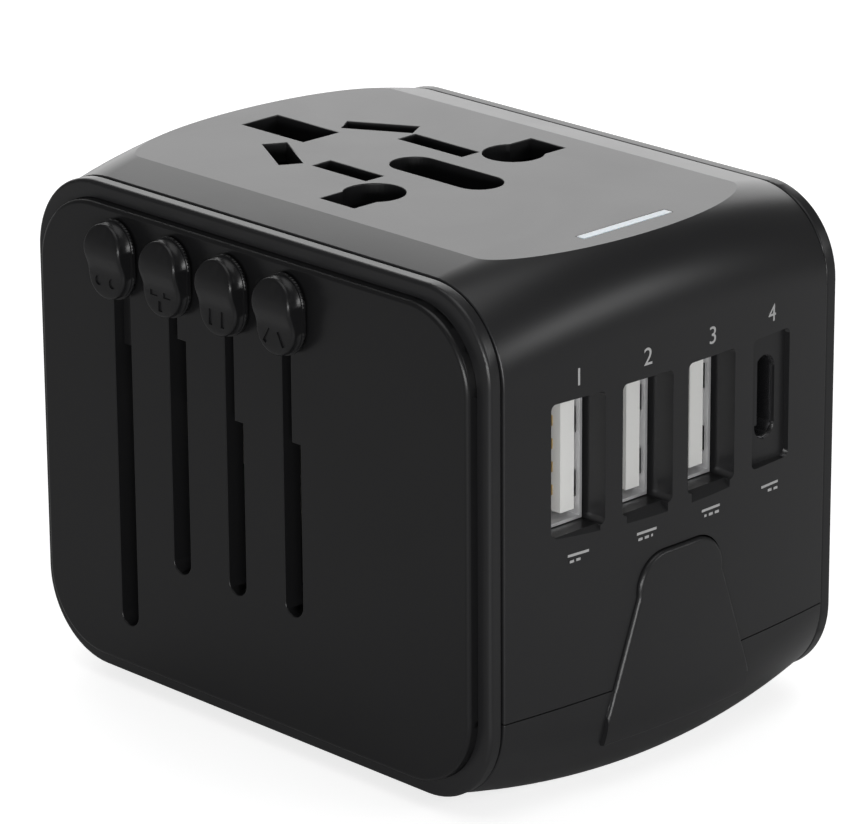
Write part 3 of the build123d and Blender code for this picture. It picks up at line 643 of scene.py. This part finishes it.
def port_places():
    """Middle of each port mouth, from the port shells: (across, height)."""
    low, high = node_box("usb_a_shells")
    c_low, c_high = node_box("usb_c_shell")
    height = (c_high[2] + c_low[2]) / 2
    half_shell = 2.85 * MM
    first, last = low[1] + half_shell, high[1] - half_shell
    second = (first + last) / 2 - 0.05 * MM
    fourth = (c_low[1] + c_high[1]) / 2
    return [(across, height) for across in (first, second, last, fourth)]


def numeral(text, height, place):
    """A numeral printed on the USB side, following its bow."""
    curve = bpy.data.curves.new("numeral", "FONT")
    curve.body = text
    curve.size = height / CAP_HEIGHT
    curve.align_x = "CENTER"
    curve.align_y = "CENTER"
    curve.extrude = marks().ink_thickness
    holder = bpy.data.objects.new("numeral", curve)
    bpy.context.scene.collection.objects.link(holder)
    bpy.context.view_layer.update()
    graph = bpy.context.evaluated_depsgraph_get()
    mesh = bpy.data.meshes.new_from_object(holder.evaluated_get(graph))
    bpy.data.objects.remove(holder)
    across, up = place
    for vertex in mesh.vertices:
        u, v, w = vertex.co
        y = across + u
        vertex.co = (side_surface(y) + w, y, up + v)
    return mesh


def bar_mesh(low, high):
    """A printed bar on the USB side between two corners (across, height)."""
    build = bmesh.new()
    bmesh.ops.create_cube(build, size=1.0)
    for vertex in build.verts:
        y = low[0] if vertex.co.y < 0 else high[0]
        z = low[1] if vertex.co.z < 0 else high[1]
        vertex.co = (side_surface(y) + (1 if vertex.co.x > 0 else -1) * marks().ink_thickness, y, z)
    mesh = bpy.data.meshes.new("bar")
    build.to_mesh(mesh)
    build.free()
    return mesh


def prism(outline, depth):
    """A cutter on the slider knobs: an outline (across, height) run through a span of Y."""
    build = bmesh.new()
    near = [build.verts.new((x, depth[0], z)) for x, z in outline]
    far = [build.verts.new((x, depth[1], z)) for x, z in outline]
    build.faces.new(near)
    build.faces.new(list(reversed(far)))
    count = len(outline)
    for index in range(count):
        after = (index + 1) % count
        build.faces.new((near[index], far[index], far[after], near[after]))
    bmesh.ops.recalc_face_normals(build, faces=build.faces)
    mesh = bpy.data.meshes.new("cutter")
    build.to_mesh(mesh)
    build.free()
    return mesh


def turned_bar(centre, size, angle=0.0):
    """Outline of a bar, turned about its middle."""
    corners = [(-1, -1), (1, -1), (1, 1), (-1, 1)]
    cos, sin = math.cos(angle), math.sin(angle)
    points = [(a * size[0] / 2, b * size[1] / 2) for a, b in corners]
    return [(centre[0] + u * cos - v * sin, centre[1] + u * sin + v * cos) for u, v in points]


def disc(centre, radius, count=24):
    """Outline of a round pin."""
    turns = [2 * math.pi / count * index for index in range(count)]
    return [(centre[0] + radius * math.cos(turn), centre[1] + radius * math.sin(turn)) for turn in turns]


def plug_symbol(key, x, z):
    """Outlines of the pins that each slider brings out, as a small pictogram."""
    sides = (1, -1)
    blade = (0.5 * MM, 1.6 * MM)
    if key == "eu":
        return [disc((x + side * 1.0 * MM, z), 0.5 * MM) for side in sides]
    if key == "uk":
        flat, upright = (1.05 * MM, 0.55 * MM), (0.55 * MM, 1.05 * MM)
        bars = [turned_bar((x + side * 0.95 * MM, z + 0.55 * MM), flat) for side in sides]
        return bars + [turned_bar((x, z - 0.65 * MM), upright)]
    if key == "us":
        return [turned_bar((x + side * 0.85 * MM, z), blade) for side in sides]
    lean = math.radians(30)
    return [turned_bar((x + side * 0.95 * MM, z), blade, side * lean) for side in sides]


# Operators


class BuildCasing(bpy.types.Operator):
    """Main housing, lower cover and the two end frames"""

    bl_idname = "adapter.casing"
    bl_label = "Casing"

    def execute(self, context):
        for node in ("main_housing", "lower_cover", "front_frame", "rear_frame"):
            barrelled = node in ("main_housing", "lower_cover")
            piece = smooth_copy(node, housing_plastic(), BROAD_FACE if barrelled else math.inf)
            if barrelled:
                polish_skin(piece, casing().tab_height)
            keep_piece(piece, "housing", "housing_plastic", node)
        return {"FINISHED"}


class BuildPanels(bpy.types.Operator):
    """Slotted slider panel and plain rear panel"""

    bl_idname = "adapter.panels"
    bl_label = "Panels"

    def execute(self, context):
        for node in ("front_panel", "rear_panel"):
            piece = smooth_copy(node, panel_plastic())
            keep_piece(piece, "housing", "panel_plastic", node)
        return {"FINISHED"}


def engrave(piece, key):
    """Cuts the slider's plug symbol into the low half of its knob."""
    low, high = node_box(f"{key}_knob")
    own = marks()
    middle_x = (low[0] + high[0]) / 2
    height = high[2] - own.knob_span + own.symbol_height
    face = low[1] + own.scoop_depth
    depth = (face - 1.0 * MM, face + own.symbol_depth)
    cutters = [prism(outline, depth) for outline in plug_symbol(key, middle_x, height)]
    cutter = join_into("cutter", engraved_floor(), cutters)
    cut = piece.modifiers.new("Engrave", "BOOLEAN")
    cut.operation = "DIFFERENCE"
    cut.solver = "EXACT"
    cut.object = cutter
    bake_modifiers(piece)
    bpy.data.objects.remove(cutter)


class BuildKnobs(bpy.types.Operator):
    """Slider knobs"""

    bl_idname = "adapter.knobs"
    bl_label = "Slider knobs"

    def execute(self, context):
        for key in SLIDERS:
            node = f"{key}_knob"
            piece = smooth_copy(node, panel_plastic())
            engrave(piece, key)
            keep_piece(piece, node, "panel_plastic", node)
        return {"FINISHED"}


class BuildPins(bpy.types.Operator):
    """Plated plug pins with rounded ends, and their nylon carriages"""

    bl_idname = "adapter.pins"
    bl_label = "Plug pins"

    def execute(self, context):
        for key in SLIDERS:
            piece = smooth_copy(f"{key}_pins", plated_pin())
            keep_piece(piece, f"{key}_carriage", "pin_metal", f"{key}_pins")
            dress([f"{key}_carriage"], inner_plastic())
            dress([f"{key}_knob_spring"], bright_steel())
        return {"FINISHED"}


class BuildPorts(bpy.types.Operator):
    """USB port shells, tongues and contacts"""

    bl_idname = "adapter.ports"
    bl_label = "USB ports"

    def execute(self, context):
        for node, material, slot in (
            ("usb_a_shells", port_steel(), "port_shell"),
            ("usb_c_shell", bright_steel(), "port_shell"),
            ("usb_a_tongues", tongue_plastic(), "tongue_plastic"),
        ):
            piece = smooth_copy(node, material)
            keep_piece(piece, "housing", slot, node)
        dress(["usb_a_contacts"], bare_brass())
        dress(["usb_c_tongue", "usb_controller"], chip_black())
        return {"FINISHED"}


class PrintMarks(bpy.types.Operator):
    """Port numerals and direct current symbols printed on the USB side, and the pads in the USB-C port"""

    bl_idname = "adapter.marks"
    bl_label = "Printed marks"

    def execute(self, context):
        own = marks()
        places = port_places()
        numeral_rise, bar_drop, dash_drop = 8.6 * MM, 8.9 * MM, 9.35 * MM
        half_bar = own.bar_width / 2
        parts = []
        for index, (across, height) in enumerate(places):
            low = height - bar_drop
            parts.append(numeral(str(index + 1), own.numeral_height, (across, height + numeral_rise)))
            parts.append(bar_mesh((across - half_bar, low), (across + half_bar, low + own.bar_height)))
        piece = join_into("port_marks", print_ink(), parts)
        keep_piece(piece, "housing", "tongue_plastic")
        pitch = own.bar_width / own.dash_count
        dash_share = 0.62
        size = (2 * own.ink_thickness + 0.02 * MM, pitch * dash_share, own.bar_height)
        for index, (across, height) in enumerate(places):
            start = (side_surface(across), across - half_bar + pitch / 2, height - dash_drop)
            row = block_row(f"port_dashes_{index + 1}", print_ink(), own.dash_count, start, (0, pitch, 0), size)
            keep_piece(row, "housing", "tongue_plastic")
        low, high = node_box("usb_c_tongue")
        start = (high[0] - 1.6 * MM, low[1] - 0.02 * MM, low[2] + 0.6 * MM)
        pad = (2.4 * MM, 0.05 * MM, 0.26 * MM)
        pads = block_row("usb_c_pads", bare_brass(), 12, start, (0, 0, 0.5 * MM), pad)
        keep_piece(pads, "housing", "contact_brass")
        return {"FINISHED"}


class DressInternals(bpy.types.Operator):
    """Finishes for what lies inside the casing"""

    bl_idname = "adapter.internals"
    bl_label = "Internals"

    def execute(self, context):
        dress(["contact_block", "shutter"], inner_plastic())
        dress(["line_contact", "neutral_contact", "earth_contact", "fuse_clips"], bare_brass())
        dress(["shutter_spring", "guide_rods"], bright_steel())
        dress(["usb_board", "power_board", "fuse_board"], board_green())
        dress(["transformer_core", "power_chip"], chip_black())
        dress(["transformer_winding"], copper_wire())
        dress(["capacitors"], can_sleeve())
        dress(["fuse_tube"], fuse_ceramic())
        dress(["fuse_caps"], plated_pin())
        dress(["led_chip"], light_guide())
        piece = smooth_copy("housing_screws", bright_steel())
        keep_piece(piece, "housing", "spring_steel", "housing_screws")
        piece = smooth_copy("light_bar", light_guide())
        keep_piece(piece, "housing", "light_guide", "light_bar")
        return {"FINISHED"}


class BuildStage(bpy.types.Operator):
    """Pale floor, soft lights and the camera"""

    bl_idname = "adapter.stage"
    bl_label = "Stage"

    def execute(self, context):
        own = context.scene.adapter_stage
        build_floor(own.floor_glow)
        build_camera(own)
        build_lights(own)
        return {"FINISHED"}


def build_floor(glow):
    """A wide flat floor just below the base, whose glow shows to the camera and lights nothing."""
    low = cad_box[0][2] - 0.1 * MM
    mesh = bpy.data.meshes.new("floor")
    build = bmesh.new()
    reach = 3.0
    corners = [(-reach, -reach), (reach, -reach), (reach, reach), (-reach, reach)]
    build.faces.new([build.verts.new((x, y, low)) for x, y in corners])
    build.to_mesh(mesh)
    build.free()
    pale = finish("Pale floor", (0.6, 0.6, 0.6), 0.85, 0.01, 0.02, Emission_Strength=glow)
    tree = pale.node_tree
    path = add_node(tree, "ShaderNodeLightPath", (-400, -500))
    glowing = tree.nodes["Principled BSDF"].inputs["Emission Color"]
    tree.links.new(path.outputs["Is Camera Ray"], glowing)
    floor = object_from("floor", mesh, pale)


def camera_frame(own):
    """The camera's right, up and back directions."""
    azimuth, elevation, roll = own.azimuth, own.elevation, own.roll
    flat = math.cos(elevation)
    back = Vector((math.sin(azimuth) * flat, -math.cos(azimuth) * flat, math.sin(elevation)))
    right = Vector((math.cos(azimuth), math.sin(azimuth), 0))
    up = back.cross(right)
    turned_right = right * math.cos(roll) + up * math.sin(roll)
    turned_up = up * math.cos(roll) - right * math.sin(roll)
    return turned_right, turned_up, back


def build_camera(own):
    """The camera, at its stated place and direction."""
    data = bpy.data.cameras.new("camera")
    data.sensor_fit = "HORIZONTAL"
    data.sensor_width = 36.0
    data.lens = own.lens
    data.clip_start = 0.01
    camera = bpy.data.objects.new("camera", data)
    bpy.context.scene.collection.objects.link(camera)
    turn = Matrix(camera_frame(own)).transposed().to_4x4()
    camera.matrix_world = Matrix.Translation(own.position) @ turn
    bpy.context.scene.camera = camera


def area_light(name, place, target, size, power):
    """A rectangular light that faces its target."""
    data = bpy.data.lights.new(name, "AREA")
    data.shape = "RECTANGLE"
    data.size, data.size_y = size
    data.energy = power
    light = bpy.data.objects.new(name, data)
    bpy.context.scene.collection.objects.link(light)
    aim = (Vector(target) - Vector(place)).to_track_quat("-Z", "Y")
    light.matrix_world = Matrix.Translation(place) @ aim.to_matrix().to_4x4()


def build_lights(own):
    """A bright wall of light behind, a soft box overhead, a low glow beside and a low fill in front."""
    middle = (0, 0, 0.026)
    _, _, back = camera_frame(own)
    away = Vector((-back.x, -back.y, 0)).normalized()
    behind = away * 0.9 + Vector((0, 0, 0.34))
    area_light("back wall", behind, middle, (1.0, 0.8), own.backlight)
    area_light("overhead", (0.05, -0.05, 0.8), middle, (0.7, 0.7), own.overhead)
    area_light("side glow", (0.7, 0.4, 0.33), middle, (0.45, 0.2), own.side_glow)
    area_light("front fill", (0.7, -0.8, 0.12), middle, (0.9, 0.2), own.front_fill)
    world = bpy.data.worlds.new("studio")
    world.use_nodes = True
    background = world.node_tree.nodes["Background"]
    background.inputs["Color"].default_value = (1, 1, 1, 1)
    background.inputs["Strength"].default_value = own.ambient
    bpy.context.scene.world = world
    bpy.context.scene.view_settings.view_transform = "Standard"


class AdapterPanel(bpy.types.Panel):
    """Sizes, colours and build steps of the travel adapter"""

    bl_idname = "VIEW3D_PT_adapter"
    bl_label = "Travel Adapter"
    bl_space_type = "VIEW_3D"
    bl_region_type = "UI"
    bl_category = "Travel Adapter"

    def draw(self, context):
        scene = context.scene
        for settings in (scene.adapter_casing, scene.adapter_marks, scene.adapter_stage):
            box = self.layout.box()
            for name in settings.bl_rna.properties.keys():
                if name not in ("rna_type", "name"):
                    box.prop(settings, name)
        for operator in BUILD_ORDER:
            self.layout.operator(operator.bl_idname)


BUILD_ORDER = (
    BuildStage,
    BuildCasing,
    BuildPanels,
    BuildKnobs,
    BuildPins,
    BuildPorts,
    PrintMarks,
    DressInternals,
)
CLASSES = (CasingSettings, MarkSettings, StageSettings, *BUILD_ORDER, AdapterPanel)


def register():
    for item in CLASSES:
        bpy.utils.register_class(item)
    bpy.types.Scene.adapter_casing = PointerProperty(type=CasingSettings)
    bpy.types.Scene.adapter_marks = PointerProperty(type=MarkSettings)
    bpy.types.Scene.adapter_stage = PointerProperty(type=StageSettings)


def unregister():
    for name in ("adapter_casing", "adapter_marks", "adapter_stage"):
        delattr(bpy.types.Scene, name)
    for item in reversed(CLASSES):
        bpy.utils.unregister_class(item)


def main():
    register()
    for operator in BUILD_ORDER:
        family, name = operator.bl_idname.split(".")
        getattr(getattr(bpy.ops, family), name)()


if __name__ == "__main__":
    main()
